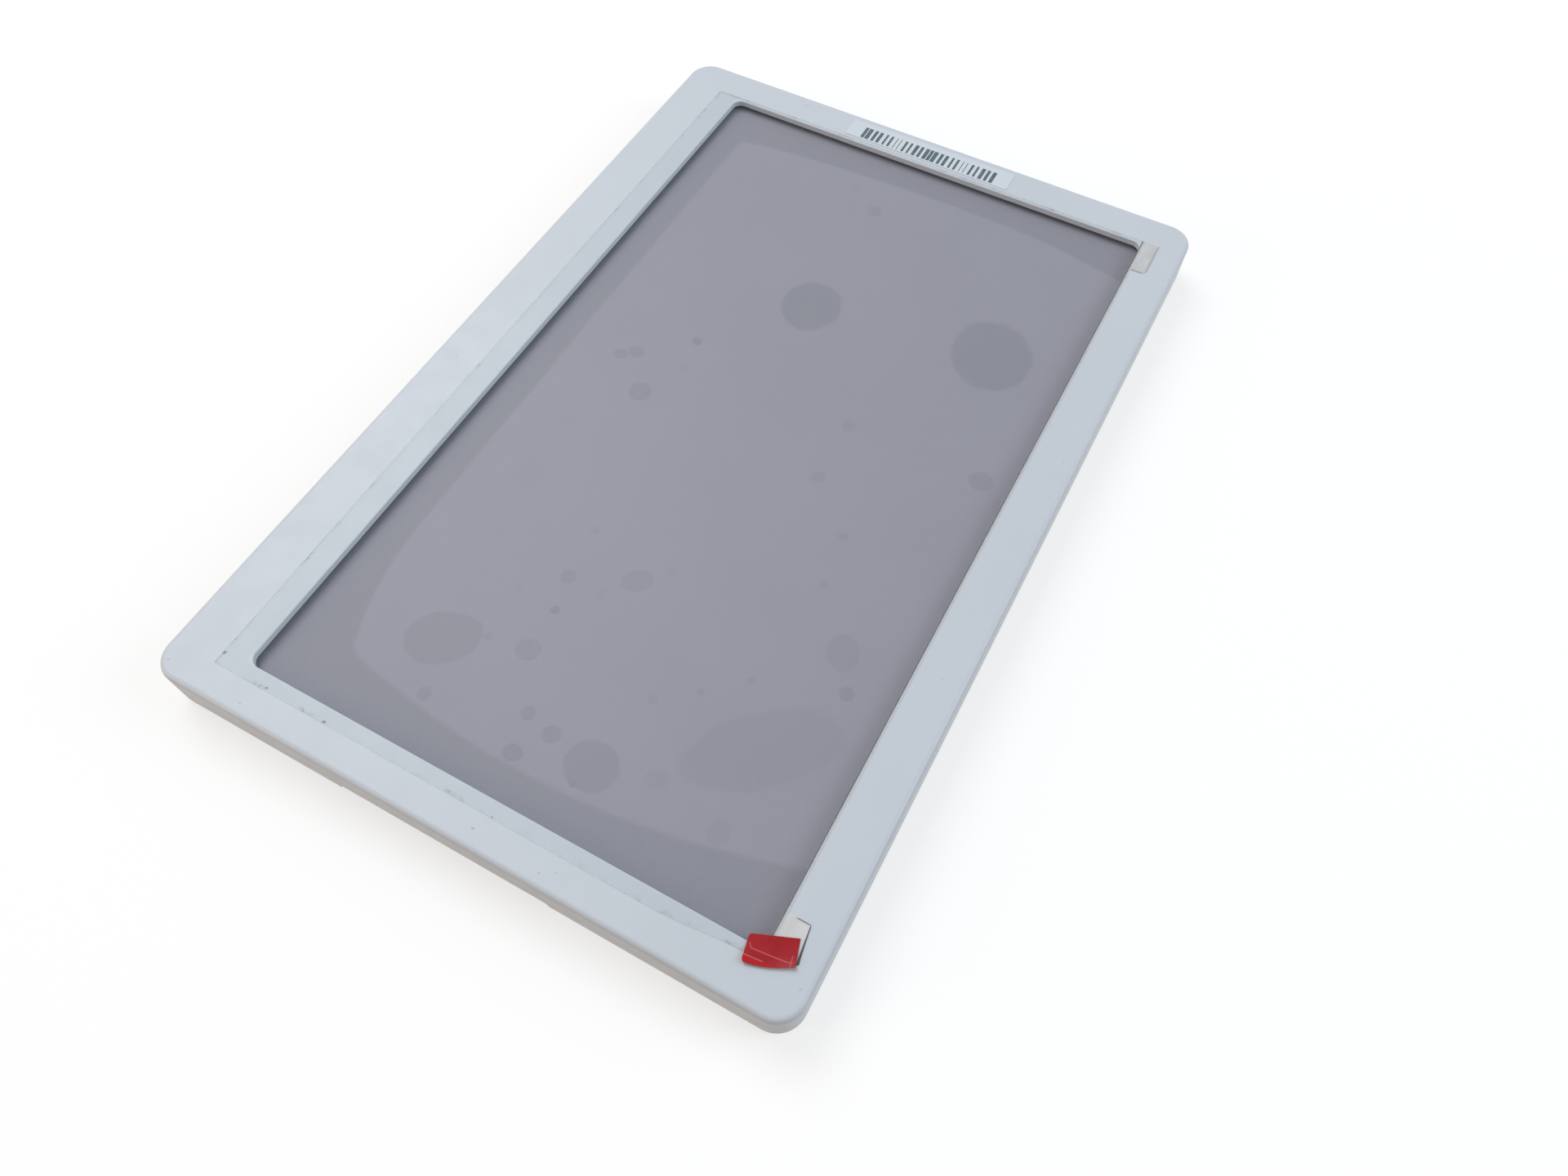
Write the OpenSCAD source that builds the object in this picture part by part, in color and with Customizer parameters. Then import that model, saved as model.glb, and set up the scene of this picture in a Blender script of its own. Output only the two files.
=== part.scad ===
// Electronic shelf label with a large reflective display, lying on its back.
// X runs along the label, Y away from its wide border, Z out of the screen.
// The origin is the centre of the back face.

/* [Housing] */
// Radius of the housing's corners, seen from the front
corner_r = 5; // [4:0.1:8]
// Thickness of the side walls
wall = 1.6; // [1.4:0.1:2]
// Thickness of the back
floor_t = 1.5; // [1.3:0.1:1.8]
// Thickness of the face round the window
face_t = 1.2; // [0.8:0.1:1.5]
// Rounding of the front rim
rim_round = 1; // [0.4:0.1:1.5]
// Rounding of the back rim
back_round = 1.3; // [0.5:0.1:1.5]
// Height of the parting line above the back
parting_z = 5.2; // [4.8:0.1:6]
// Height of the lip that plugs the two shells together
lip_h = 1.4; // [1:0.1:1.8]
// Thickness of that lip
lip_t = 0.75; // [0.6:0.05:0.9]
// Gap between the lip and the front shell
lip_fit = 0.1; // [0.05:0.05:0.2]

/* [Window] */
// Length of the window
win_l = 165.4; // [150:0.1:166]
// Width of the window
win_w = 98.5; // [90:0.1:99]
// Radius of the window's corners
win_r = 2; // [0.5:0.1:3]
// Width of the two short borders, from the housing's edge to the window
end_border = 8.7; // [8:0.1:12]
// Width of the wide border
chin_w = 14.5; // [13.5:0.1:16]
// Width of the border opposite the wide one
side_border = 9; // [8:0.1:12]

/* [Display] */
// Thickness of the glass
glass_t = 0.4; // [0.3:0.05:0.7]
// Overlap of the glass behind the two short borders
glass_end = 2.4; // [1.6:0.1:2.8]
// Overlap of the glass behind the wide border, where its driver chip is
glass_chin = 9.5; // [8.5:0.1:10]
// Overlap of the glass behind the border opposite the wide one
glass_lap = 3.2; // [2.2:0.1:3.6]
// Thickness of the electronic paper on the glass
paper_t = 0.4; // [0.3:0.05:0.8]
// Overlap of the electronic paper behind the window's edges
paper_lap = 0.8; // [0.4:0.1:1.1]
// Gap between the electronic paper and the face's underside
paper_gap = 0.7; // [0.3:0.05:0.9]
// Thickness of the frame that carries the glass
carrier_t = 0.6; // [0.5:0.1:1]
// Thickness of that frame's upright rim
carrier_rim = 0.8; // [0.6:0.1:1]
// Width of the display's flexible tail where it is bonded
bond_w = 26; // [20:1:32]
// Width of the tail's free end
tail_w = 13; // [10:0.5:16]

/* [Battery] */
// Diameter of a coin cell
cell_d = 24.5; // [20:0.1:24.5]
// Thickness of a coin cell
cell_h = 5; // [4:0.1:5]
// Distance between the cells' centres
cell_pitch = 26; // [25.8:0.1:28]
// Gap between a cell and the wall of its bay
cell_gap = 0.5; // [0.3:0.1:0.8]
// Distance of the cells' row from the board's edge
cell_off = 30; // [29:0.5:33]
// Thickness of the bay's wall
bay_wall = 1.2; // [1:0.1:1.5]

/* [Battery door] */
// Thickness of the door
door_t = 0.9; // [0.8:0.1:1.2]
// Overlap of the door outside the bay
door_lap = 3; // [2.8:0.1:3.6]
// Radius of the door's corners
door_r = 2.5; // [1.5:0.1:4]
// Gap round the door
door_fit = 0.25; // [0.2:0.05:0.35]
// Thickness of the foam pad that presses the cells
pad_t = 0.3; // [0.2:0.1:0.8]
// Width of each hook tab
tab_w = 8; // [6:0.5:12]
// Thickness of each hook tab
tab_t = 0.8; // [0.6:0.1:1]
// Distance of each hook tab from the door's middle
tab_x = 34; // [26:1:42]
// Width of the snap latch
latch_w = 14; // [10:1:18]

/* [Main board] */
// Distance of the board from the housing's short sides
board_in = 29.4; // [28.5:0.1:36]
// Width of the board
board_w = 32; // [30:0.5:33]
// Thickness of the board
board_t = 0.8; // [0.6:0.1:1]
// Height of the posts that carry the board
post_h = 3.1; // [2.9:0.1:3.2]
// Distance of the board from the wide border's wall
board_gap = 7.4; // [6.5:0.1:8]

/* [Button] */
// Diameter of the service button
button_d = 6; // [4:0.5:8]
// Travel of the button
button_travel = 0.4; // [0.2:0.05:0.5]
// Distance of the button from the board's end
button_in = 16; // [12:0.5:22]
// Gap round the button
button_fit = 0.2; // [0.15:0.05:0.3]

/* [Mounting] */
// Length of a bracket slot, end to end
slot_l = 12; // [9:0.5:14]
// Width of a bracket slot
slot_w = 4.4; // [3:0.1:5.2]
// Distance of the slots' middles from the housing's short sides
slot_in_x = 16.4; // [15:0.1:18]
// Distance of the slots' middles from the housing's long sides
slot_in_y = 25; // [22:0.5:28]
// Depth of the room behind a slot for the bracket's hook
slot_room = 2.2; // [1.6:0.1:2.6]
// Length of the notch in each short side, at the back
notch_l = 42.5; // [30:0.5:50]
// Distance of that notch from the middle, towards the wide border
notch_off = 2.6; // [0:0.1:6]
// Height of that notch
notch_h = 2.6; // [1.6:0.1:2.8]
// Depth of that notch, in from the side
notch_d = 5; // [3.5:0.1:6]

/* [Screws] */
// Diameter of a case screw's thread
screw_d = 2; // [1.6:0.1:2.4]
// Diameter of a case screw's head
head_d = 3.6; // [3:0.1:4]
// Distance of the case screws from the housing's long sides
screw_in = 21; // [17:0.5:24]

/* [Film, tab and sticker] */
// Thickness of the protective film
film_t = 0.1; // [0.05:0.01:0.2]
// Overlap of the film on the wide border
film_chin = 4.9; // [2:0.1:8]
// Overlap of the film at the end with the pull tab
film_near = 2.6; // [1.5:0.1:5]
// Overlap of the film at the end with the sticker
film_far = 0.8; // [0.4:0.1:1.4]
// Length of the film's two ears
ear_l = 8.9; // [6:0.1:12]
// Reach of the ear with the pull tab
ear_near = 4.8; // [3:0.1:6]
// Reach of the other ear
ear_far = 3.4; // [2:0.1:5]
// Length of the pull tab
pull_l = 7.8; // [5:0.1:12]
// Width of the pull tab
pull_w = 4.4; // [3:0.1:7]
// Turn of the pull tab, in degrees
pull_turn = 20; // [0:1:40]
// Width of the pull tab's part that stays stuck down
pull_stuck = 1.2; // [0.5:0.1:2.5]
// Lift of the pull tab's free edge
pull_lift = 0.8; // [0.3:0.1:1.2]
// Length of the sticker
sticker_l = 39.5; // [30:0.5:60]
// Distance of the sticker from the housing's edge
sticker_in = 1.8; // [1.2:0.1:2.4]
// Gap between the sticker and the film
sticker_gap = 0.7; // [0.3:0.1:1.5]

/* [Hidden] */
$fn = 64;

// One overrun serves all cuts
cut = 1;

// The stack, from the back to the face
door_sink = 0.1;
door_top = door_sink + door_t;
cell_z = door_top + pad_t;
contact_room = 0.4;
contact_t = 0.2;
carrier_z = cell_z + cell_h + contact_room;
glass_z = carrier_z + carrier_t;
paper_z = glass_z + glass_t;
face_z = paper_z + paper_t + paper_gap;
body_h = face_z + face_t;
lip_z = parting_z + lip_h;
skirt_t = wall - lip_t - lip_fit;

// The housing, the window and the display
body_l = win_l + 2*end_border;
body_w = win_w + chin_w + side_border;
win_y = (chin_w - side_border)/2;
glass_l = win_l + 2*glass_end;
glass_w = win_w + glass_chin + glass_lap;
glass_y = win_y + (glass_lap - glass_chin)/2;
glass_chin_y = glass_y - glass_w/2;
paper_l = win_l + 2*paper_lap;
paper_w = win_w + 2*paper_lap;
carrier_fit = 0.2;
carrier_l = glass_l + 2*(carrier_fit + carrier_rim);
carrier_w = glass_w + 2*(carrier_fit + carrier_rim);
gasket_fit = 0.3;
chip_l = 22;
chip_w = 1.4;
chip_t = 0.4;
chip_in = 4.6;
chip_room = 0.5;

// The display's flexible tail
flex_t = 0.12;
flex_lap = 2;
flex_x = 6;
flex_taper = 2.5;
flex_top = paper_z + flex_t;

// The main board
board_l = body_l - 2*board_in;
board_z = floor_t + post_h;
board_top = board_z + board_t;
board_y = -body_w/2 + wall + board_gap + board_w/2;
board_r = 1.5;
board_high = board_y + board_w/2;
board_low = board_y - board_w/2;
button_x = board_l/2 - button_in;
post_in = 4;
post_r = 2.2;
pin_r = 1.1;
pin_fit = 0.2;
pin_over = 0.4;

// The battery bay
cells = 4;
cell_y = board_high + cell_off;
cell_row = (cells - 1)*cell_pitch;
cell_r = cell_d/2;
contact_gap = 1.2;
bay_r = cell_r + cell_gap;
bay_l = cell_row + 2*bay_r;
bay_low = cell_y - bay_r - contact_gap;
bay_high = cell_y + bay_r;
bay_top = carrier_z - 2*contact_t;
scallop_w = 14;
channel_over = 5;
channel_w = cell_y - scallop_w/2 - bay_low;

// The battery door, its hook tabs and its latch
door_l = bay_l + 2*door_lap;
door_low = bay_low - door_lap;
door_high = bay_high + door_lap;
door_w = door_high - door_low;
door_y = (door_low + door_high)/2;
ledge_gap = 0.1;
ledge_z = door_top + ledge_gap;
ledge_t = 1.2;
ledge_top = ledge_z + ledge_t;
ledge_wall = 1.6;
hinge_y = door_high + door_fit;
tab_clear = 0.4;
tab_in = floor_t + tab_clear;
tab_out = tab_in + tab_t;
tab_fit = 0.15;
tab_tip = 60;
tab_turn = 165;
latch_in = 8.5;
latch_fit = 0.3;
latch_t = 0.8;
latch_gap = 0.1;
latch_bite = 0.5;
nose_h = 0.8;
nose_z = ledge_top + latch_gap;
rib_w = 0.6;
rib_h = 0.25;
rib_pitch = 1.5;
pad_w = 8;
pad_l = cell_row + scallop_w;

// The socket for the display's tail
socket_l = 17;
socket_w = 4.6;
socket_h = 1;
socket_in = 3.4;
socket_y = board_low + socket_in;
socket_slot = 2.6;
socket_fit = 0.1;
socket_bar_w = 1.4;
socket_bar_h = 0.35;
tail_z = board_top + socket_h/2;
tail_y = socket_y + socket_slot - 2*socket_fit;

// The chips and parts on the board
radio_l = 7;
radio_h = 0.9;
radio_x = -22;
memory_l = 5;
memory_w = 6;
memory_h = 1;
memory_x = -8;
crystal_l = 3.2;
crystal_w = 2.5;
crystal_h = 0.7;
crystal_x = -31;
coil_d = 4.8;
coil_h = 1.1;
coil_x = 26;
cap_l = 1.6;
cap_w = 0.8;
cap_h = 0.8;
cap_count = 8;
cap_pitch = 2.6;
cap_x = 8;
parts_off = 1;
parts_y = board_y + parts_off;
antenna_l = 20;
antenna_w = 1.2;
antenna_h = 1.1;
antenna_t = 0.2;
antenna_arms = 4;
antenna_pitch = 3;
antenna_in = 8;
antenna_x = -board_l/2 + antenna_in;

// The button and its switch
cap_sink = 0.3;
flange_t = 0.5;
flange_w = 0.8;
flange_gap = 0.05;
collar_t = 1;
collar_h = 1.3;
switch_w = 4.5;
switch_h = 1.5;
plunger_r = 0.9;
plunger_fit = 0.2;
plunger_out = 0.45;
plunger_in = 0.5;
switch_z = board_z - switch_h;
button_r = button_d/2;
pin_top = switch_z - plunger_out;

// The screws and their bosses
boss_r = 2;
boss_in = 3.9;
boss_x = body_l/2 - boss_in;
screw_y = body_w/2 - screw_in;
boss_z = 4.4;
screw_post_r = 3.2;
post_gap = 0.1;
screw_post_top = boss_z - post_gap;
head_h = 1.2;
head_sink = 0.6;
head_fit = 0.3;
screw_hole_fit = 0.15;
screw_l = 5.4;
thread_bite = 0.15;
boss_depth = 7.6;
recess_w = 0.5;
recess_d = 0.5;

// The rest of the housing
hook_wall = 1.2;
hook_over = 1.8;
hook_side = 1.1;
notch_lean = 1;
slot_dx = body_l - 2*slot_in_x;
slot_dy = body_w - 2*slot_in_y;
catch_r = 0.3;
catch_fit = 0.12;
catch_l = 10;
catch_z = parting_z + lip_h/2;
catch_shares = [-0.36, -0.13, 0.13, 0.36];
fin_t = 1.2;
fin_gap = 0.3;
fin_shares = [-0.42, -0.25, 0.25, 0.42];
pillar_r = 2;
pillar_in = 15;
pillar_side = 10;
stiff_t = 0.8;
stiff_h = 1.2;
stiff_count = 6;
sticker_t = 0.1;
sticker_w = end_border - film_far - sticker_in - sticker_gap;
sticker_y = 0.5;
film_r = 0.6;
pull_t = 0.12;
pull_in_x = 2.9;
pull_in_y = 0.95;

// Rectangle with round corners, centred on the origin
module round_rect(l, w, r) {
    square([l - 2*r, w], center = true);
    square([l, w - 2*r], center = true);
    for (x = [-1, 1], y = [-1, 1])
        translate([x*(l/2 - r), y*(w/2 - r)]) circle(r);
}

// Flat plate with round corners, standing on z = 0
module plate(l, w, r, h) {
    linear_extrude(h) round_rect(l, w, r);
}

// Plate whose upper rim is rounded by f
module domed_plate(l, w, r, h, f) {
    plate(l, w, r, h - f);
    plate(l - 2*f, w - 2*f, r - f, h);
    for (s = [-1, 1]) {
        translate([0, s*(w/2 - f), h - f])
            rotate([0, 90, 0]) cylinder(r = f, h = l - 2*r, center = true);
        translate([s*(l/2 - f), 0, h - f])
            rotate([90, 0, 0]) cylinder(r = f, h = w - 2*r, center = true);
    }
    for (x = [-1, 1], y = [-1, 1])
        translate([x*(l/2 - r), y*(w/2 - r), h - f])
            rotate_extrude() translate([r - f, 0]) circle(f);
}

// Slot with round ends along X
module obround(l, w, h) {
    linear_extrude(h) {
        square([l - w, w], center = true);
        for (s = [-1, 1]) translate([s*(l - w)/2, 0]) circle(w/2);
    }
}

// A block from its lowest and highest corners
module block(low, high) {
    translate(low) cube(high - low);
}

// An outline in Y and Z carried along X, centred on x = 0
module along_x(length) {
    translate([-length/2, 0, 0])
        rotate([90, 0, 90]) linear_extrude(length) children();
}

// The places of the four case screws
module at_screws() {
    for (x = [-1, 1], y = [-1, 1])
        translate([x*boss_x, y*screw_y, 0]) children();
}

// The places of the four posts under the board
module at_posts() {
    for (x = [-1, 1], y = [-1, 1])
        translate([x*(board_l/2 - post_in), board_y + y*(board_w/2 - post_in), 0])
            children();
}

// The places of the four bracket slots
module at_slots() {
    for (x = [-1, 1], y = [-1, 1])
        translate([x*slot_dx/2, y*slot_dy/2, 0]) children();
}

// The places of the four coin cells
module at_cells() {
    for (i = [0 : cells - 1])
        translate([i*cell_pitch - cell_row/2, cell_y, 0]) children();
}

// Outline of the bay: a round pocket for each cell, a grip between them, a contact channel
module bay_outline(grow) {
    at_cells() circle(bay_r + grow);
    translate([0, cell_y]) square([cell_row, scallop_w + 2*grow], center = true);
    translate([-cell_row/2 - channel_over - grow, bay_low - grow])
        square([cell_row + 2*(channel_over + grow), channel_w + 2*grow]);
}

// Ring sector in Y and Z round the hook tabs' axis, from angle a to angle b
module tab_sector(inner, outer, a, b) {
    reach = 2*outer;
    difference() {
        circle(outer);
        circle(inner);
        rotate(a) translate([-reach, -reach]) square([2*reach, reach]);
        rotate(b) translate([-reach, 0]) square([2*reach, reach]);
    }
}

// Catches between the lip and the front shell, on both long sides
module catches(r) {
    for (s = [-1, 1], k = catch_shares)
        translate([k*body_l, s*(body_w/2 - skirt_t - lip_fit), catch_z])
            rotate([0, 90, 0]) cylinder(r = r, h = catch_l, center = true);
}

// Front shell: face with the window, side walls, screw bosses and fins
module front_bezel() {
    skirt_h = body_h - parting_z;
    color("aliceblue") {
        difference() {
            translate([0, 0, parting_z])
                domed_plate(body_l, body_w, corner_r, skirt_h, rim_round);
            translate([0, 0, parting_z - cut])
                plate(body_l - 2*wall, body_w - 2*wall, corner_r - wall, face_z - parting_z + cut);
            translate([0, 0, parting_z - cut])
                plate(body_l - 2*skirt_t, body_w - 2*skirt_t, corner_r - skirt_t,
                    lip_h + lip_fit + cut);
            translate([0, win_y, 0]) plate(win_l, win_w, win_r, body_h + cut);
            catches(catch_r + catch_fit);
        }
        at_screws() difference() {
            translate([0, 0, boss_z]) cylinder(r = boss_r, h = face_z - boss_z);
            translate([0, 0, boss_z - cut])
                cylinder(r = screw_d/2 - thread_bite, h = boss_depth - boss_z + cut);
        }
        locating_fins();
    }
}

// Fins that hold the carrier from the side walls
module locating_fins() {
    fin_z = carrier_z + carrier_t/2;
    low = glass_y - carrier_w/2 - fin_gap;
    high = glass_y + carrier_w/2 + fin_gap;
    side = carrier_l/2 + fin_gap;
    root = wall/2;
    for (k = fin_shares) {
        x = k*carrier_l;
        block([x - fin_t/2, -body_w/2 + root, fin_z], [x + fin_t/2, low, face_z]);
        block([x - fin_t/2, high, fin_z], [x + fin_t/2, body_w/2 - root, face_z]);
    }
    for (s = [-1, 1], k = [fin_shares[1], fin_shares[2]])
        translate([s*(side + body_l/2 - root)/2, k*carrier_w, (fin_z + face_z)/2])
            cube([body_l/2 - root - side, fin_t, face_z - fin_z], center = true);
}

// Clear film over the window, with an ear at each end of one long side
module protective_film() {
    far = -win_l/2 - film_far;
    near = win_l/2 + film_near;
    low = win_y - win_w/2 - film_chin;
    edge = win_y + win_w/2;
    color("lightcyan", 0.4) translate([0, 0, body_h]) linear_extrude(film_t) {
        translate([(far + near)/2, (low + edge)/2])
            round_rect(near - far, edge - low, film_r/2);
        translate([near - ear_l/2, edge])
            round_rect(ear_l, 2*ear_near, film_r);
        translate([far + ear_l/2, edge])
            round_rect(ear_l, 2*ear_far, film_r);
    }
}

// Red tab stuck on the film's corner, its free edge curling up
module pull_tab() {
    curl_w = pull_w - pull_stuck;
    bend_r = (curl_w*curl_w + pull_lift*pull_lift)/(2*pull_lift);
    sweep = asin(curl_w/bend_r);
    reach = 2*bend_r;
    x = win_l/2 + film_near - pull_in_x;
    y = win_y + win_w/2 + pull_in_y;
    color("firebrick") translate([x, y, body_h + film_t]) rotate(pull_turn)
        translate([pull_stuck - pull_w/2, pull_l/2, 0]) rotate([90, 0, 0])
            linear_extrude(pull_l) {
                translate([-pull_stuck, 0]) square([pull_stuck, pull_t]);
                intersection() {
                    translate([0, bend_r]) difference() {
                        circle(bend_r, $fn = 360);
                        circle(bend_r - pull_t, $fn = 360);
                    }
                    square([curl_w, reach]);
                    translate([0, bend_r]) rotate(sweep) translate([-reach, -reach])
                        square([reach, reach]);
                }
            }
}

// Paper sticker for a bar code, on the short border
module barcode_sticker() {
    color("white")
        translate([-body_l/2 + sticker_in + sticker_w/2, sticker_y, body_h + sticker_t/2])
            cube([sticker_w, sticker_l, sticker_t], center = true);
}

// Foam frame between the glass and the face, cut out round the chip and the tail
module display_gasket() {
    foam_t = face_z - paper_z;
    color("dimgray") difference() {
        translate([-glass_l/2, glass_chin_y, paper_z]) cube([glass_l, glass_w, foam_t]);
        translate([0, win_y, paper_z - cut])
            linear_extrude(foam_t + 2*cut)
                square([paper_l + 2*gasket_fit, paper_w + 2*gasket_fit], center = true);
        translate([0, glass_chin_y + chip_in, paper_z])
            cube([chip_l + 2*chip_room, chip_w + 2*chip_room, 2*(foam_t + cut)], center = true);
        translate([flex_x, glass_chin_y, paper_z])
            cube([bond_w + 2*chip_room, 2*(flex_lap + chip_room), 2*(foam_t + cut)], center = true);
    }
}

// Electronic paper sheet, the grey surface in the window
module display_paper() {
    color("darkgray")
        translate([0, win_y, paper_z + paper_t/2]) cube([paper_l, paper_w, paper_t], center = true);
}

// Glass plate that carries the pixel transistors
module display_glass() {
    color("lightsteelblue", 0.6)
        translate([-glass_l/2, glass_chin_y, glass_z]) cube([glass_l, glass_w, glass_t]);
}

// Driver chip bonded on the glass behind the wide border
module driver_chip() {
    color("darkslategray")
        translate([0, glass_chin_y + chip_in, paper_z + chip_t/2])
            cube([chip_l, chip_w, chip_t], center = true);
}

// Flexible tail: bonded on the glass, folded round its edge and into the socket
module display_flex() {
    fold_r = (paper_z + flex_t/2 - tail_z)/2;
    fold_y = glass_chin_y - flex_t;
    fold_z = tail_z + fold_r;
    reach = 2*fold_r;
    color("darkorange") translate([flex_x, fold_y, 0]) {
        along_x(bond_w) {
            translate([0, paper_z]) square([flex_lap, flex_t]);
            translate([0, tail_z - flex_t/2]) square([flex_taper, flex_t]);
            translate([0, fold_z]) difference() {
                circle(fold_r + flex_t/2);
                circle(fold_r - flex_t/2);
                translate([0, -reach]) square([reach, 2*reach]);
            }
        }
        along_x(tail_w)
            translate([flex_taper/2, tail_z - flex_t/2])
                square([tail_y - fold_y - flex_taper/2, flex_t]);
    }
}

// Tray that carries the glass over the board and the cells
module panel_carrier() {
    gap_y = glass_chin_y + flex_t;
    color("gainsboro") difference() {
        translate([0, glass_y, carrier_z])
            plate(carrier_l, carrier_w, carrier_rim, carrier_t + glass_t);
        translate([0, glass_y, glass_z + (glass_t + cut)/2])
            cube([glass_l + 2*carrier_fit, glass_w + 2*carrier_fit, glass_t + cut], center = true);
        translate([flex_x, gap_y - flex_taper, carrier_z])
            cube([bond_w + 2*chip_room, 2*flex_taper, 2*(carrier_t + glass_t + cut)], center = true);
        at_screws() translate([0, 0, carrier_z - cut])
            cylinder(r = boss_r + fin_gap, h = carrier_t + glass_t + 2*cut);
    }
}

// Circuit board on the four posts
module main_board() {
    color("seagreen") difference() {
        translate([0, board_y, board_z]) plate(board_l, board_w, board_r, board_t);
        at_posts() translate([0, 0, board_z - cut])
            cylinder(r = pin_r + pin_fit, h = board_t + 2*cut);
    }
}

// A square chip on the board's upper face
module chip(x, l, w, h) {
    translate([x, parts_y, board_top + h/2]) cube([l, w, h], center = true);
}

// Radio and processor chip
module radio_chip() {
    color("darkslategray") chip(radio_x, radio_l, radio_l, radio_h);
}

// Memory chip
module memory_chip() {
    color("darkslategray") chip(memory_x, memory_l, memory_w, memory_h);
}

// Crystal in its metal can
module crystal() {
    color("silver") chip(crystal_x, crystal_l, crystal_w, crystal_h);
}

// Inductor of the display's voltage booster
module boost_inductor() {
    color("dimgray")
        translate([coil_x, parts_y, board_top]) {
            cylinder(d = coil_d, h = coil_h);
            translate([0, 0, coil_h/8]) cube([coil_d, coil_d, coil_h/4], center = true);
        }
}

// Row of capacitors for the display's voltages
module capacitors() {
    color("burlywood")
        for (i = [0 : cap_count - 1])
            translate([cap_x + i*cap_pitch, socket_y + socket_w + cap_l + cap_w, board_top + cap_h/2])
                cube([cap_w, cap_l, cap_h], center = true);
}

// Socket for the display's tail
module flex_connector() {
    color("ivory") translate([flex_x, 0, 0]) difference() {
        translate([-socket_l/2, socket_y, board_top]) cube([socket_l, socket_w, socket_h]);
        translate([0, socket_y, tail_z])
            cube([tail_w + 2*socket_fit, 2*socket_slot, flex_t + 2*socket_fit], center = true);
        translate([0, socket_y + socket_w, board_top + socket_h])
            cube([tail_w + 2*socket_fit, 2*socket_bar_w + 2*socket_fit, 2*socket_bar_h], center = true);
    }
}

// Bar that locks the tail in its socket
module connector_latch() {
    color("dimgray")
        translate([flex_x - tail_w/2, socket_y + socket_w - socket_bar_w,
            board_top + socket_h - socket_bar_h])
            cube([tail_w, socket_bar_w, socket_bar_h]);
}

// Antenna: a folded metal strip on two feet at the board's end
module antenna() {
    arm_z = board_top + antenna_h;
    color("gold") {
        for (i = [0 : antenna_arms - 1])
            translate([antenna_x + i*antenna_pitch, board_y - antenna_l/2, arm_z - antenna_t])
                cube([antenna_w, antenna_l, antenna_t]);
        for (i = [0 : antenna_arms - 2])
            translate([antenna_x + i*antenna_pitch,
                board_y + (i % 2 == 0 ? antenna_l/2 - antenna_w : -antenna_l/2), arm_z - antenna_t])
                cube([antenna_pitch + antenna_w, antenna_w, antenna_t]);
        for (i = [0, antenna_arms - 1])
            translate([antenna_x + i*antenna_pitch, board_y - antenna_l/2, board_top])
                cube([antenna_w, antenna_t, antenna_h]);
    }
}

// Tactile switch under the board
module switch_body() {
    color("gray") translate([button_x, board_y, 0]) difference() {
        translate([0, 0, switch_z + switch_h/2]) cube([switch_w, switch_w, switch_h], center = true);
        translate([0, 0, switch_z - cut])
            cylinder(r = plunger_r + plunger_fit, h = plunger_in + button_travel + plunger_fit + cut);
    }
}

// The switch's plunger
module switch_plunger() {
    color("black") translate([button_x, board_y, pin_top])
        cylinder(r = plunger_r, h = plunger_out + plunger_in);
}

// Push button in the back, sunk below its face
module button_cap() {
    flange_z = floor_t + flange_gap;
    color("gainsboro") translate([button_x, board_y, 0]) difference() {
        union() {
            translate([0, 0, cap_sink]) cylinder(r = button_r, h = flange_z - cap_sink);
            translate([0, 0, flange_z]) cylinder(r = button_r + flange_w, h = flange_t);
            translate([0, 0, flange_z + flange_t])
                cylinder(r = plunger_r, h = pin_top - flange_z - flange_t);
        }
        translate([0, 0, cap_sink - 2*button_r + cap_sink]) sphere(2*button_r - cap_sink/2);
    }
}

// One coin cell: the can, and the smaller negative cap on top
module coin_cell(i) {
    cap_step = 0.4;
    color("silver")
        translate([i*cell_pitch - cell_row/2, cell_y, cell_z]) {
            cylinder(r = cell_r, h = cell_h - cap_step);
            cylinder(r = cell_r - 2*cap_step, h = cell_h);
        }
}

module coin_cell_1() { coin_cell(0); }
module coin_cell_2() { coin_cell(1); }
module coin_cell_3() { coin_cell(2); }
module coin_cell_4() { coin_cell(3); }

// Negative contact: a strip under the carrier, a spring leaf for each cell, a lead to the board
neg_w = 6;
neg_over = 7;
neg_lead_w = 4;
leaf_l = 6;
leaf_w = 3;
foot_l = 2.5;
lead_in = 1;
module contact_negative() {
    strip_z = carrier_z - contact_t;
    leaf_drop = contact_room - contact_t;
    lead_x = -cell_pitch;
    lead_y = board_high - lead_in;
    color("khaki") {
        translate([-cell_row/2 - neg_over, cell_y - neg_w/2, strip_z])
            cube([cell_row + 2*neg_over, neg_w, contact_t]);
        at_cells() translate([0, leaf_w/2, strip_z]) rotate([90, 0, 0])
            linear_extrude(leaf_w)
                polygon([[0, 0], [0, contact_t], [leaf_l, contact_t - leaf_drop], [leaf_l, -leaf_drop]]);
        translate([lead_x - neg_lead_w/2, lead_y, strip_z])
            cube([neg_lead_w, cell_y - lead_y, contact_t]);
        translate([lead_x - neg_lead_w/2, lead_y, board_top])
            cube([neg_lead_w, contact_t, strip_z + contact_t - board_top]);
        translate([lead_x - neg_lead_w/2, lead_y - foot_l, board_top])
            cube([neg_lead_w, foot_l + contact_t, contact_t]);
    }
}

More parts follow.
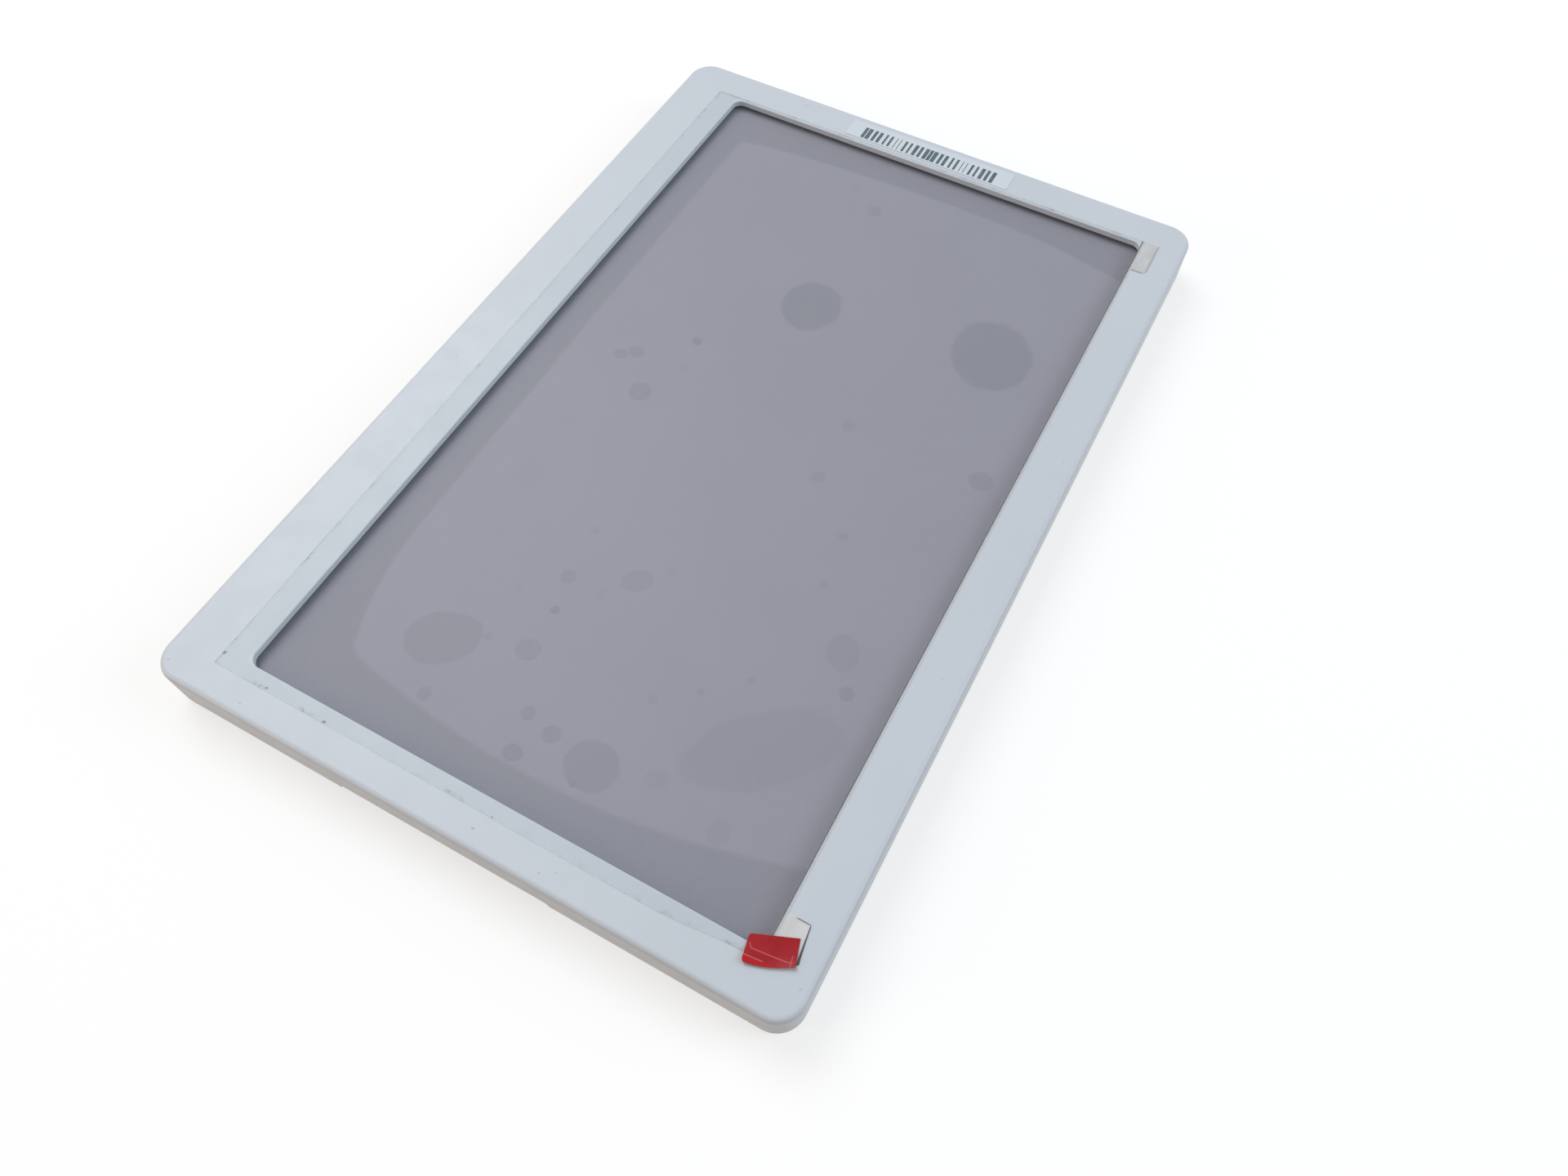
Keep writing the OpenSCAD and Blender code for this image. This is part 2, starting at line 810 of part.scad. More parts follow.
// Positive contact: an upright strip in the bay's channel, a bow for each cell, a lead
pos_over = 4;
pos_h = 2.6;
bow_l = 10;
bow_flat = 1.6;
pos_lead_w = 4;
module contact_positive() {
    strip_y = bay_low + contact_t;
    strip_z = board_top + contact_t - pos_h;
    bow_y = cell_y - cell_r - strip_y - contact_t/8;
    lead_x = cell_pitch;
    color("khaki") {
        translate([-cell_row/2 - pos_over, strip_y, strip_z])
            cube([cell_row + 2*pos_over, contact_t, pos_h]);
        for (i = [0 : cells - 1])
            translate([i*cell_pitch - cell_row/2, strip_y, strip_z])
                linear_extrude(pos_h) polygon([
                    [-bow_l/2, 0], [-bow_flat/2, bow_y], [bow_flat/2, bow_y], [bow_l/2, 0],
                    [bow_l/2 - contact_t, 0], [bow_flat/2 - contact_t, bow_y - contact_t],
                    [-bow_flat/2 + contact_t, bow_y - contact_t], [-bow_l/2 + contact_t, 0]
                ]);
        translate([lead_x - pos_lead_w/2, board_high - lead_in - foot_l, board_top])
            cube([pos_lead_w, strip_y + contact_t - board_high + lead_in + foot_l, contact_t]);
    }
}

// Rear shell: back, side walls, lip, battery bay, posts, pockets and notches
module rear_shell() {
    color("whitesmoke") difference() {
        union() {
            rear_tub();
            rear_blocks();
        }
        rear_cuts();
    }
    color("whitesmoke") at_posts() translate([0, 0, floor_t])
        cylinder(r = pin_r, h = board_top + pin_over - floor_t);
}

// The shell itself with its lip and catches
module rear_tub() {
    difference() {
        union() {
            translate([0, 0, parting_z]) mirror([0, 0, 1])
                domed_plate(body_l, body_w, corner_r, parting_z, back_round);
            plate_in = skirt_t + lip_fit;
            translate([0, 0, parting_z - lip_h])
                plate(body_l - 2*plate_in, body_w - 2*plate_in, corner_r - plate_in, 2*lip_h);
            catches(catch_r);
        }
        translate([0, 0, floor_t])
            plate(body_l - 2*wall, body_w - 2*wall, corner_r - wall, body_h);
    }
}

// What stands on the back's inner face
module rear_blocks() {
    base = floor_t/2;
    pad_grow = 2*(door_fit + ledge_wall);
    translate([0, door_y, base])
        plate(door_l + pad_grow, door_w + pad_grow, door_r + door_fit + ledge_wall, ledge_top - base);
    translate([0, 0, base]) linear_extrude(bay_top - base) bay_outline(bay_wall);
    at_screws() translate([0, 0, base]) cylinder(r = screw_post_r, h = screw_post_top - base);
    at_posts() translate([0, 0, base]) cylinder(r = post_r, h = board_z - base);
    translate([button_x, board_y, base])
        cylinder(r = button_r + flange_w + button_fit + collar_t, h = floor_t + collar_h - base);
    at_slots() translate([0, 0, (base + floor_t + slot_room + hook_wall)/2])
        cube([slot_l + 2*(hook_over + hook_wall), slot_w + 2*(hook_side + hook_wall),
            slot_room + hook_wall + floor_t - base], center = true);
    for (s = [-1, 1]) {
        translate([s*(body_l/2 - (notch_d + hook_wall + wall/2)/2), -notch_off,
            (base + notch_h + hook_wall)/2])
            cube([notch_d + hook_wall - wall/2, notch_l + 2*hook_wall,
                notch_h + hook_wall - base], center = true);
        translate([s*tab_x, hinge_y, 0]) along_x(tab_w + 2*(tab_fit + bay_wall))
            tab_sector(tab_in/2, tab_out + tab_fit + bay_wall/2, tab_tip/4, tab_turn);
    }
    for (x = [-1, 1], y = [-1, 1])
        translate([x*(body_l/2 - pillar_in), y*(body_w/2 - pillar_side), base])
            cylinder(r = pillar_r, h = carrier_z - base);
    stiffeners();
}

// Low ribs across the back, between the bay and the side wall
module stiffeners() {
    low = door_high + ledge_wall;
    high = body_w/2 - wall/2;
    step = (slot_dx - slot_l - 2*(hook_over + hook_wall) - 2*hook_side)/(stiff_count - 1);
    for (i = [0 : stiff_count - 1])
        translate([(i - (stiff_count - 1)/2)*step, (low + high)/2, floor_t + stiff_h/2 - stiff_t/2])
            cube([stiff_t, high - low, stiff_h + stiff_t], center = true);
}

// What is cut through the back
module rear_cuts() {
    translate([0, door_y, -cut])
        plate(door_l + 2*door_fit, door_w + 2*door_fit, door_r + door_fit, ledge_z + cut);
    linear_extrude(bay_top + cut) bay_outline(0);
    tab_pockets();
    latch_window();
    contact_notch();
    at_screws() {
        translate([0, 0, -cut])
            cylinder(d = head_d + 2*head_fit, h = head_sink + head_h + cut);
        cylinder(r = screw_d/2 + screw_hole_fit, h = screw_post_top + cut);
    }
    translate([button_x, board_y, -cut]) {
        cylinder(r = button_r + button_fit, h = floor_t + 2*cut);
        translate([0, 0, floor_t + cut])
            cylinder(r = button_r + flange_w + button_fit, h = collar_h + floor_t);
    }
    at_slots() {
        translate([0, 0, -cut]) obround(slot_l, slot_w, floor_t + 2*cut);
        translate([0, 0, floor_t + slot_room/2])
            cube([slot_l + 2*hook_over, slot_w + 2*hook_side, slot_room], center = true);
    }
    notches();
}

// Pockets in which the door's hook tabs turn
module tab_pockets() {
    for (s = [-1, 1])
        translate([s*tab_x, hinge_y, 0]) {
            along_x(tab_w + 2*tab_fit) difference() {
                tab_sector(tab_in - tab_fit, tab_out + tab_fit, 0, 180);
                translate([0, -cut]) square([2*tab_out, floor_t + cut]);
            }
        }
}

// Window in the ledge for the snap latch, and the scoop for a finger nail
module latch_window() {
    block([-latch_w/2 - latch_fit, door_low - door_fit, ledge_z - cut],
        [latch_w/2 + latch_fit, door_low + latch_t + 2*latch_fit, ledge_top + cut]);
    translate([0, door_low - door_fit, 0])
        rotate([0, 90, 0]) cylinder(r = 2*latch_t*0.6, h = latch_w - 2*latch_t, center = true);
}

// Notch in the bay's wall for the positive lead
module contact_notch() {
    width = pos_lead_w + 2*cell_gap;
    translate([cell_pitch - width/2, bay_low - bay_wall - cut, board_top - contact_t])
        cube([width, bay_wall + 2*cut, bay_top]);
}

// Notch with sloping ends in each short side, at the back
module notches() {
    for (s = [-1, 1])
        translate([s*(body_l/2 - notch_d/2 + cut/2), -notch_off, 0])
            along_x(notch_d + cut) polygon([
                [-notch_l/2 - notch_lean, -notch_h], [notch_l/2 + notch_lean, -notch_h],
                [notch_l/2 - notch_lean, notch_h], [-notch_l/2 + notch_lean, notch_h]
            ]);
}

// Four self-tapping screws, one node
module case_screws() {
    slot_r = recess_w/2;
    color("lightgray") at_screws() difference() {
        union() {
            translate([0, 0, head_sink]) cylinder(d = head_d, h = head_h);
            translate([0, 0, head_sink + head_h]) cylinder(d = screw_d, h = screw_l);
        }
        for (a = [0, 90]) rotate(a)
            translate([0, 0, head_sink])
                cube([head_d/2 + slot_r, recess_w, 2*recess_d], center = true);
    }
}

// Battery door: plate, two hook tabs, cut-out for the latch
module battery_door() {
    color("whitesmoke") {
        difference() {
            translate([0, door_y, door_sink]) plate(door_l, door_w, door_r, door_t);
            translate([0, door_low, door_sink])
                cube([latch_w + 2*latch_fit, 2*latch_in, 2*(door_t + cut)], center = true);
        }
        for (s = [-1, 1])
            translate([s*tab_x, hinge_y, 0]) along_x(tab_w) difference() {
                tab_sector(tab_in, tab_out, tab_tip, 180);
                translate([-2*tab_out, -cut]) square([4*tab_out, door_sink + door_t/2 + cut]);
            }
    }
}

// Snap latch: a tongue that springs from the door, with a nose over the ledge
module door_latch() {
    nose_reach = door_fit + latch_bite;
    ramp = nose_h/2;
    color("whitesmoke") {
        difference() {
            translate([-latch_w/2, door_low, door_sink]) cube([latch_w, latch_in, door_t]);
            for (i = [0 : 3])
                translate([0, door_low + latch_in/2 + (i - 1.5)*rib_pitch, door_sink])
                    cube([latch_w - 2*latch_t, rib_w, 2*rib_h], center = true);
        }
        along_x(latch_w) translate([door_low, 0]) polygon([
            [0, door_top - door_t/2], [0, nose_z], [-nose_reach, nose_z],
            [-nose_reach, nose_z + nose_h - ramp], [0, nose_z + nose_h],
            [latch_t, nose_z + nose_h], [latch_t, door_top - door_t/2]
        ]);
    }
}

// Foam pad on the door, pressing the cells against their contacts
module door_pad() {
    color("slategray")
        translate([0, cell_y, door_top + pad_t/2]) cube([pad_l, pad_w, pad_t], center = true);
}

front_bezel();
protective_film();
pull_tab();
barcode_sticker();
display_gasket();
display_paper();
display_glass();
driver_chip();
display_flex();
panel_carrier();
main_board();
radio_chip();
memory_chip();
crystal();
boost_inductor();
capacitors();
flex_connector();
connector_latch();
antenna();
switch_body();
switch_plunger();
button_cap();
coin_cell_1();
coin_cell_2();
coin_cell_3();
coin_cell_4();
contact_negative();
contact_positive();
rear_shell();
case_screws();
battery_door();
door_latch();
door_pad();
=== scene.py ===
import math

import bmesh
import bpy
import numpy as np
from mathutils import Matrix


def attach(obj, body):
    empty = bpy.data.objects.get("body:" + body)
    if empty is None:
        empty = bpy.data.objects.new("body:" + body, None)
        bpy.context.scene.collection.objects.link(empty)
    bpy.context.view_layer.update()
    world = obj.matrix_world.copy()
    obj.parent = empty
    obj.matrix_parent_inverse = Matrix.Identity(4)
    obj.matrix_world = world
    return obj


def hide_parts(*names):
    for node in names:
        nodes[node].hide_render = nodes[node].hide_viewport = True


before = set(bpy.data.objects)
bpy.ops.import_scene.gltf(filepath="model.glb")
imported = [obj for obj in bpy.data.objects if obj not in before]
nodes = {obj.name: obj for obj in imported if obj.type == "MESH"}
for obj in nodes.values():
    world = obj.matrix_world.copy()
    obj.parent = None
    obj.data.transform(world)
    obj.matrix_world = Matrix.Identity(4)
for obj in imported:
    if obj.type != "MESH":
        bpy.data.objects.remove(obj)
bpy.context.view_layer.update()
scene = bpy.context.scene
scene.view_settings.view_transform = "Standard"


# ---- Camera
# The camera stands above the label's near end and looks down at it from the
# right of the wide border. Its place was solved from the housing's straight edges.
VIEW_RIGHT = (-0.47487, 0.88004, 0.0049)
VIEW_UP = (-0.76058, -0.4132, 0.50078)
VIEW_BACK = (0.44274, 0.23408, 0.86556)
VIEW_PLACE = (0.113566, 0.070837, 0.178247)

lens = bpy.data.cameras.new("camera")
lens.lens = 25.70
lens.sensor_width = 36
lens.clip_start = 0.01
camera = bpy.data.objects.new("camera", lens)
scene.collection.objects.link(camera)
camera.matrix_world = Matrix((
    (VIEW_RIGHT[0], VIEW_UP[0], VIEW_BACK[0], VIEW_PLACE[0]),
    (VIEW_RIGHT[1], VIEW_UP[1], VIEW_BACK[1], VIEW_PLACE[1]),
    (VIEW_RIGHT[2], VIEW_UP[2], VIEW_BACK[2], VIEW_PLACE[2]),
    (0, 0, 0, 1)))
scene.camera = camera


# ---- Floor and light
# The label lies on a pale table top. A large soft lamp hangs over its far left,
# a cool one lights the plain side, and a weak warm one the near end from low down.
class Wire:
    """One output of a material's nodes. Arithmetic on it adds Math nodes; add() brings any other node."""

    def __init__(self, tree, socket):
        self.tree, self.socket = tree, socket

    def add(self, kind, settings=None, inputs=None, out=0):
        node = self.tree.nodes.new(kind)
        for key, value in (settings or {}).items():
            if key == "stops":
                ramp = node.color_ramp
                while len(ramp.elements) < len(value):
                    ramp.elements.new(1.0)
                for element, (place, colour) in zip(ramp.elements, value):
                    element.position, element.color = place, (*colour, 1)
            elif key == "interpolation":
                node.color_ramp.interpolation = value
            else:
                setattr(node, key, value)
        for key, value in (inputs or {}).items():
            if isinstance(value, Wire):
                self.tree.links.new(value.socket, node.inputs[key])
            else:
                node.inputs[key].default_value = value
        return Wire(self.tree, node.outputs[out])

    def _maths(self, operation, *values):
        return self.add("ShaderNodeMath", {"operation": operation}, dict(enumerate(values)))

    def __add__(self, other):
        return self._maths("ADD", self, other)

    def __radd__(self, other):
        return self._maths("ADD", other, self)

    def __sub__(self, other):
        return self._maths("SUBTRACT", self, other)

    def __rsub__(self, other):
        return self._maths("SUBTRACT", other, self)

    def __mul__(self, other):
        return self._maths("MULTIPLY", self, other)

    def __rmul__(self, other):
        return self._maths("MULTIPLY", other, self)

    def __truediv__(self, other):
        return self._maths("DIVIDE", self, other)

    def __abs__(self):
        return self._maths("ABSOLUTE", self)

    def __neg__(self):
        return self._maths("MULTIPLY", self, -1.0)

    def least(self, other):
        return self._maths("MINIMUM", self, other)

    def most(self, other):
        return self._maths("MAXIMUM", self, other)

    def root(self):
        return self._maths("SQRT", self)

    def step(self, low, high, to_low=0.0, to_high=1.0):
        """Smooth step: to_low where the value is under low, to_high where it is over high."""
        return self.add("ShaderNodeMapRange", {"interpolation_type": "SMOOTHSTEP"},
                        {"Value": self, "From Min": low, "From Max": high,
                         "To Min": to_low, "To Max": to_high})

    def blend(self, under, over):
        """Colour that goes from under to over as the value goes from 0 to 1."""
        under, over = [(*c, 1) if isinstance(c, tuple) else c for c in (under, over)]
        return self.add("ShaderNodeMix", {"data_type": "RGBA"}, {0: self, 6: under, 7: over}, out=2)

    def noise(self, size, detail=2.0, rough=0.5, stretch=None):
        """Smooth noise from 0 to 1 whose lumps are about size metres across."""
        place = self
        if stretch:
            place = self.add("ShaderNodeMapping", {}, {"Vector": self, "Scale": stretch})
        return place.add("ShaderNodeTexNoise", {}, {"Vector": place, "Scale": 1/size,
                                                    "Detail": detail, "Roughness": rough})

    def parts(self):
        """The three coordinates of a vector."""
        split = self.add("ShaderNodeSeparateXYZ", {}, {0: self})
        return [Wire(self.tree, socket) for socket in split.socket.node.outputs]

    def bump(self, depth, strength=1.0):
        """Normal of a surface raised by the value times depth metres."""
        return self.add("ShaderNodeBump", {}, {"Height": self, "Distance": depth, "Strength": strength})


def finish(name, **sockets):
    """A new Principled material. Plain values go on its sockets; a function of the place gives a wire."""
    material = bpy.data.materials.new(name)
    material.use_nodes = True
    tree = material.node_tree
    shader = tree.nodes["Principled BSDF"]
    coordinates = tree.nodes.new("ShaderNodeTexCoord")
    place = Wire(tree, coordinates.outputs["Object"])
    for key, value in sockets.items():
        socket = shader.inputs[key.replace("_", " ")]
        if callable(value):
            value = value(place)
        if isinstance(value, Wire):
            tree.links.new(value.socket, socket)
        elif isinstance(value, tuple):
            socket.default_value = (*value, 1)
        else:
            socket.default_value = value
    return material


def dress(node, material):
    """Gives a CAD node a material in every slot."""
    mesh = nodes[node].data
    mesh.materials.clear()
    mesh.materials.append(material)


FLOOR_HALF, FLOOR_Z = 3.0, -0.00004
FLOOR_SEEN = (0.36, 0.36, 0.36)
FLOOR_GLOW = 0.96
GLOW_NEAR, GLOW_FAR = (0.6875, 0.6875, 0.6875), (1.0, 1.0, 1.0)
BOUNCE_TONE = (0.385, 0.300, 0.228)
SKY_TONE = (0.355, 0.372, 0.385)
BACKDROP_TONE = (0.98, 0.98, 0.98)

floor_mesh = bpy.data.meshes.new("floor")
floor_mesh.from_pydata([(-FLOOR_HALF, -FLOOR_HALF, FLOOR_Z), (FLOOR_HALF, -FLOOR_HALF, FLOOR_Z),
                        (FLOOR_HALF, FLOOR_HALF, FLOOR_Z), (-FLOOR_HALF, FLOOR_HALF, FLOOR_Z)],
                       [], [(0, 1, 2, 3)])
floor = bpy.data.objects.new("floor", floor_mesh)
scene.collection.objects.link(floor)


def floor_glow(place):
    """The floor's glow rises with distance, so that it meets the backdrop without a line."""
    x, y, _ = place.parts()
    return (x*x + y*y).root().step(0.45, 1.8).blend(GLOW_NEAR, GLOW_FAR)


floor_white = finish("floor_white", Base_Color=FLOOR_SEEN, Roughness=0.9, Specular_IOR_Level=0.0,
                     Emission_Strength=FLOOR_GLOW, Emission_Color=floor_glow)
floor_mesh.materials.append(floor_white)

# The floor shows from above, to the camera and in gloss. From below it is clear,
# so that the back can be looked at, and the world brings the light it throws back.
def looked_at(wire):
    """1 for rays from the camera and for what gloss and clear film show, 0 for rays that bring light."""
    seen = wire.add("ShaderNodeLightPath", out="Is Camera Ray")
    for kind in ("Is Glossy Ray", "Is Transmission Ray"):
        seen = seen.most(wire.add("ShaderNodeLightPath", out=kind))
    return seen


clear = Wire(floor_white.node_tree, floor_white.node_tree.nodes["Principled BSDF"].outputs[0])
seen = looked_at(clear)*(1.0 - clear.add("ShaderNodeNewGeometry", out="Backfacing"))
shown = clear.add("ShaderNodeMixShader", {}, {0: seen, 1: clear.add("ShaderNodeBsdfTransparent"), 2: clear})
floor_white.node_tree.links.new(
    shown.socket, floor_white.node_tree.nodes["Material Output"].inputs["Surface"])

world = bpy.data.worlds.new("studio")
scene.world = world
world.use_nodes = True
sky = world.node_tree.nodes["Background"]
direction = Wire(world.node_tree, world.node_tree.nodes.new("ShaderNodeTexCoord").outputs["Generated"])
upwards = direction.parts()[2].step(-0.10, 0.10)
around = looked_at(direction).blend(upwards.blend(BOUNCE_TONE, SKY_TONE), BACKDROP_TONE)
world.node_tree.links.new(around.socket, sky.inputs["Color"])
sky.inputs["Strength"].default_value = 1.0


def lamp(name, place, target, size, power, colour):
    """A square area lamp at place that faces target."""
    data = bpy.data.lights.new(name, "AREA")
    data.size, data.energy, data.color = size, power, colour
    thing = bpy.data.objects.new(name, data)
    scene.collection.objects.link(thing)
    back = (np.array(place) - np.array(target))/np.linalg.norm(np.array(place) - np.array(target))
    right = np.cross((0.0, 1.0, 0.0), back)
    right /= np.linalg.norm(right)
    up = np.cross(back, right)
    turned = np.eye(4)
    turned[:3, 0], turned[:3, 1], turned[:3, 2], turned[:3, 3] = right, up, back, place
    thing.matrix_world = Matrix(turned.tolist())


lamp("window_light", (-0.50, -1.00, 1.45), (0, 0, 0), 1.1, 17.0, (1.0, 1.0, 1.0))
lamp("sky_light", (-0.6, 1.3, 0.8), (0, 0, 0), 1.0, 11.0, (0.86, 0.95, 1.0))
lamp("room_light", (0.75, -0.75, 0.28), (0, 0, 0), 0.6, 3.2, (1.0, 0.68, 0.42))


# ---- Front shell
# The raised frame and side walls are one moulding in pale satin plastic with
# a fine spark-eroded grain. Its rim is rounded and the window's edge is eased.
BODY = (0.1828, 0.1220)
CORNER = 0.005
WINDOW = (0.1654, 0.0985)
WINDOW_Y = 0.00275
WINDOW_CORNER = 0.002
FACE_Z = 0.0100
UNDER_FACE_Z = 0.0088
PARTING_Z = 0.0052
ARC_POINTS = 14
SHELL_TONE = (0.560, 0.606, 0.668)


def ring(size, corner, middle_y, z):
    """Closed loop round a rectangle with round corners: four arcs of ARC_POINTS points."""
    turn = np.linspace(0, math.pi/2, ARC_POINTS)
    quarter = np.arange(4)[:, None]
    angle = (turn[None, :] + quarter*math.pi/2)
    side_x = np.array([1, -1, -1, 1])[:, None]
    side_y = np.array([1, 1, -1, -1])[:, None]
    x = side_x*(size[0]/2 - corner) + corner*np.cos(angle)
    y = side_y*(size[1]/2 - corner) + corner*np.sin(angle) + middle_y
    return np.stack([x, y, np.full_like(x, z)], axis=-1).reshape(-1, 3)


def lofted(rings, closed):
    """Points and quads of a surface through loops of equal length: (u, v) is point u of loop v."""
    grid = np.array(rings)
    rows, columns = grid.shape[:2]
    v, u = np.meshgrid(np.arange(rows if closed else rows - 1), np.arange(columns), indexing="ij")
    v_next, u_next = (v + 1) % rows, (u + 1) % columns
    quads = np.stack([v*columns + u, v*columns + u_next,
                      v_next*columns + u_next, v_next*columns + u], axis=-1)
    return grid.reshape(-1, 3), quads.reshape(-1, 4)


def piece(name, points, faces, material, sharp=math.radians(40), body="housing"):
    """One object of points and faces: doubles joined, faces outwards, smooth under the sharp angle."""
    mesh = bpy.data.meshes.new(name)
    mesh.from_pydata(points.tolist(), [], [list(f) for f in np.asarray(faces).tolist()])
    work = bmesh.new()
    work.from_mesh(mesh)
    bmesh.ops.remove_doubles(work, verts=work.verts, dist=1e-7)
    bmesh.ops.recalc_face_normals(work, faces=work.faces)
    for face in work.faces:
        face.smooth = True
    for edge in work.edges:
        edge.smooth = not (len(edge.link_faces) == 2 and edge.calc_face_angle() > sharp)
    work.to_mesh(mesh)
    work.free()
    mesh.materials.append(material)
    thing = bpy.data.objects.new(name, mesh)
    scene.collection.objects.link(thing)
    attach(thing, body)
    return thing


def rounding(radius, steps=7):
    """Points of a quarter round: inset and drop below its top, from the side to the top."""
    turn = np.linspace(0, math.pi/2, steps)
    return zip(radius*(1 - np.cos(turn)), radius*(1 - np.sin(turn)))


def away_from(place, x, y, z, reach_x, reach_y, turned):
    """Distance from x, y in units of an oval's reach: 1 on its rim. Millimetres, degrees, z in metres."""
    local = place.add("ShaderNodeMapping", {"vector_type": "TEXTURE"}, {
        "Vector": place, "Location": (x/1000, y/1000, z),
        "Rotation": (0, 0, math.radians(turned)), "Scale": (reach_x/1000, reach_y/1000, 1)})
    return local.add("ShaderNodeVectorMath", {"operation": "LENGTH"}, {0: local}, out="Value")


SPECKS = (
    (85.1, 59.1, 0.16), (88.7, -58.5, 0.18), (89.1, -42.5, 0.15), (88.1, 3.5, 0.24), (89.0, 16.4, 0.17),
    (87.8, 18.7, 0.15), (-88.6, -31.0, 0.2), (30.4, 56.8, 0.15), (-21.0, 58.2, 0.14), (12.0, -56.2, 0.15))


def grained(place, tone):
    """Plastic of one tone with faint clouds and a few specks of dust ground into the grain."""
    cloud = place.noise(0.03, 3.0).step(0.3, 0.7)
    colour = cloud.blend(tuple(0.975*c for c in tone), tone)
    ragged = 0.9*(place.noise(0.0003, 2.0) - 0.5)
    for x, y, reach in SPECKS:
        speck = (away_from(place, x, y, FACE_Z, reach, 1.3*reach, 25) + ragged).step(0.6, 1.1, 0.35, 0.0)
        colour = speck.blend(colour, (0.16, 0.16, 0.16))
    return colour


def grain_normal(place):
    """Spark-eroded texture, about a tenth of a millimetre."""
    return (place.noise(0.00016, 2.0) + 0.6*place.noise(0.0011, 2.0)).bump(0.000012, 0.5)


shell_plastic = finish(
    "shell_plastic", Base_Color=lambda p: grained(p, SHELL_TONE),
    Roughness=lambda p: p.noise(0.004, 3.0).step(0.2, 0.8, 0.38, 0.48),
    Normal=grain_normal, Specular_IOR_Level=0.45)


def outside(inset, z):
    """Loop round the housing, drawn in by inset."""
    size = (BODY[0] - 2*inset, BODY[1] - 2*inset)
    return ring(size, CORNER - inset, 0, z)


def around_window(grow, z):
    """Loop round the window, let out by grow."""
    size = (WINDOW[0] + 2*grow, WINDOW[1] + 2*grow)
    return ring(size, WINDOW_CORNER + grow, WINDOW_Y, z)


RIM, SUPPORT, EASE, FOOT = 0.0010, 0.00012, 0.00018, 0.00006
WALL, SKIRT, LIP_TOP = 0.0016, 0.00075, 0.0067
profile = [outside(SKIRT, PARTING_Z), outside(FOOT, PARTING_Z), outside(0, PARTING_Z + FOOT),
           outside(0, PARTING_Z + SUPPORT), outside(0, FACE_Z - RIM - SUPPORT)]
profile += [outside(inset, FACE_Z - drop) for inset, drop in rounding(RIM, 10)]
profile += [outside(RIM + SUPPORT, FACE_Z), around_window(EASE + SUPPORT, FACE_Z)]
profile += [around_window(inset, FACE_Z - drop) for inset, drop in reversed(list(rounding(EASE, 5)))]
profile += [around_window(0, FACE_Z - EASE - SUPPORT), around_window(0, UNDER_FACE_Z),
            outside(WALL, UNDER_FACE_Z), outside(WALL, LIP_TOP), outside(SKIRT, LIP_TOP)]
frame_points, frame_faces = lofted(profile, closed=True)

BOSS_X, BOSS_Y, BOSS_R, BOSS_HOLE = 0.0875, 0.040, 0.002, 0.00085
BOSS_Z, BOSS_FLOOR = 0.0044, 0.0076
MIDDLE = 1e-9
turn = np.linspace(0, 2*math.pi, 33)[:-1]
for side_x in (-1, 1):
    for side_y in (-1, 1):
        loops = [np.stack([side_x*BOSS_X + r*np.cos(turn), side_y*BOSS_Y + r*np.sin(turn),
                           np.full_like(turn, z)], axis=-1)
                 for r, z in ((MIDDLE, BOSS_FLOOR), (BOSS_HOLE, BOSS_FLOOR), (BOSS_HOLE, BOSS_Z),
                              (BOSS_R, BOSS_Z), (BOSS_R, UNDER_FACE_Z), (MIDDLE, UNDER_FACE_Z))]
        points, faces = lofted(loops, closed=False)
        frame_faces = np.concatenate([frame_faces, faces + len(frame_points)])
        frame_points = np.concatenate([frame_points, points])

front_frame = piece("front_frame", frame_points, frame_faces, shell_plastic)
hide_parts("front_bezel")


# ---- Rear shell, battery door and latch
# The back is moulded in the same plastic as the front. The door and its
# sprung latch are one moulding in it.
for name in ("rear_shell", "battery_door", "door_latch"):
    dress(name, shell_plastic)


